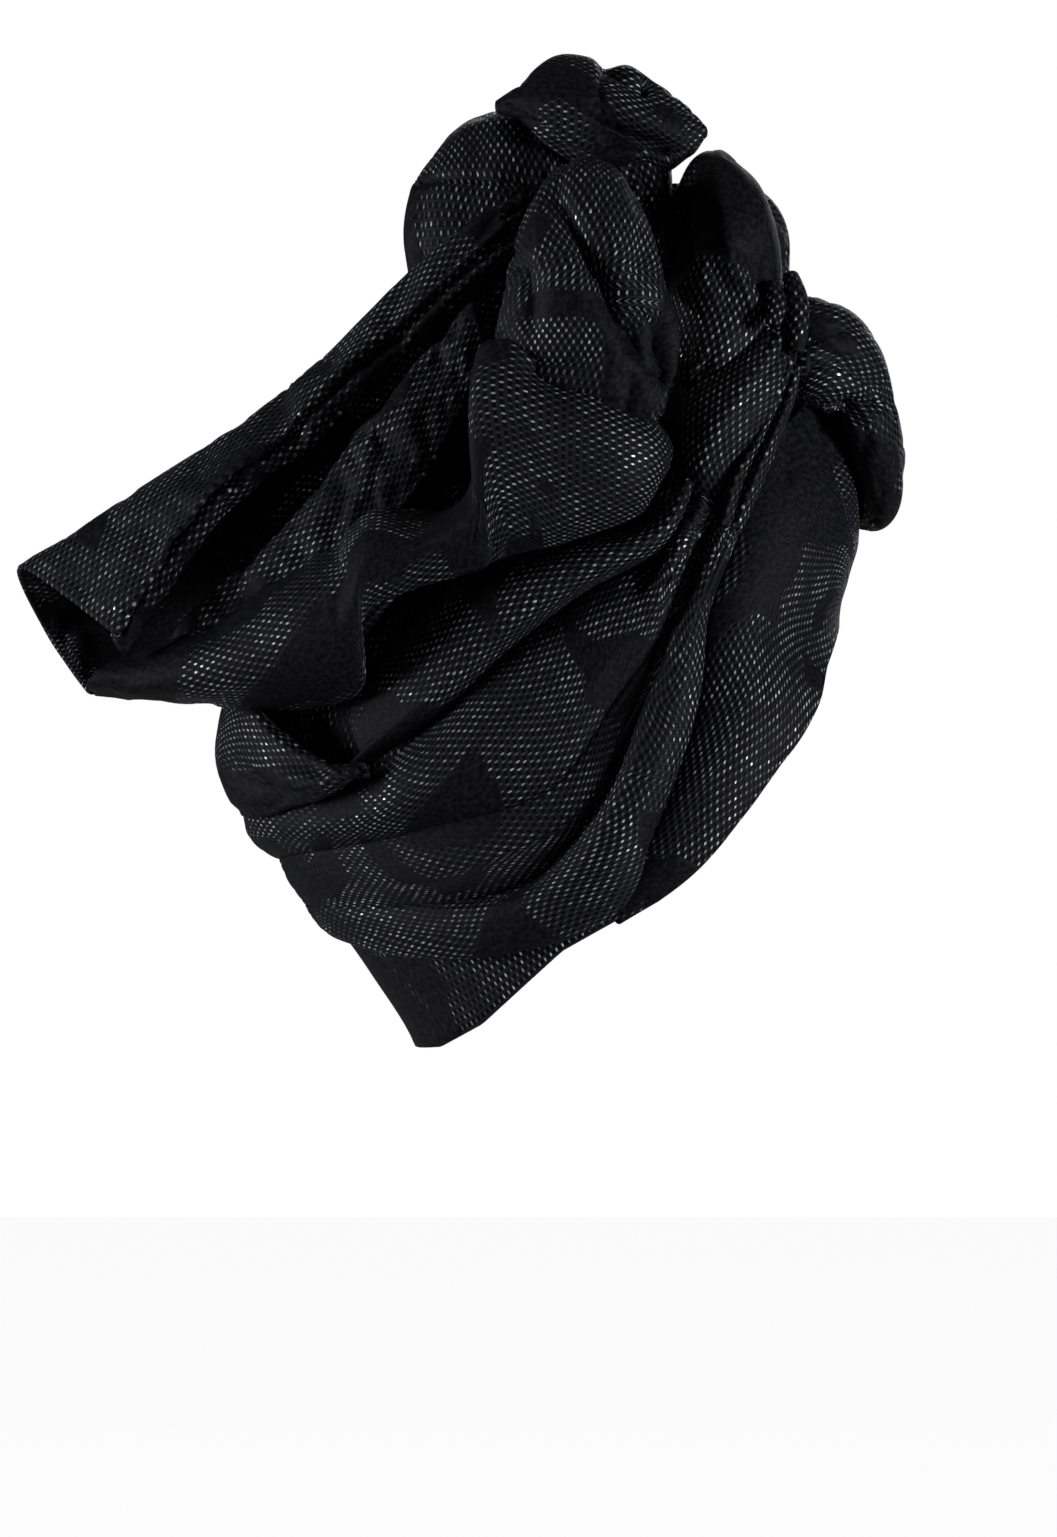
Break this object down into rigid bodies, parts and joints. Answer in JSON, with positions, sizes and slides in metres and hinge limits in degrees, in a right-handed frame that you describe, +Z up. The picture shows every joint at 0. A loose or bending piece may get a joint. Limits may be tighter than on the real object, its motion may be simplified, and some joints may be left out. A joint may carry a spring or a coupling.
{
  "type": "turban headwrap",
  "caption": "Draped cloth turban with a tall hollow crown, a brow band, a folded sash, tied loops, a top knot and a free tail; worn on the head.",
  "frame": {"origin": "middle of the head opening, halfway between the brow's edge and the nape's", "axes": "+X the wearer's forward, +Y the wearer's left, +Z up"},
  "size_m": [0.3089, 0.2016, 0.3463],
  "materials": {
    "jacquard": "satin ground with glinting woven patches"
  },
  "bodies": {
    "root": {"crown": "jacquard", "brow_band": "jacquard", "sash": "jacquard", "right_roll": "jacquard", "left_roll": "jacquard", "cowl": "jacquard", "long_sash": "jacquard", "tail": "jacquard", "tail_fold": "jacquard", "centre_loop": "jacquard", "crown_loop": "jacquard", "far_loop": "jacquard", "rear_loop": "jacquard", "top_knot": "jacquard", "knot_neck": "jacquard", "gather_band": "jacquard", "front_loop": "jacquard", "binding_front": "jacquard", "binding_back": "jacquard", "front_pleat": "jacquard"}
  },
  "joints": []
}
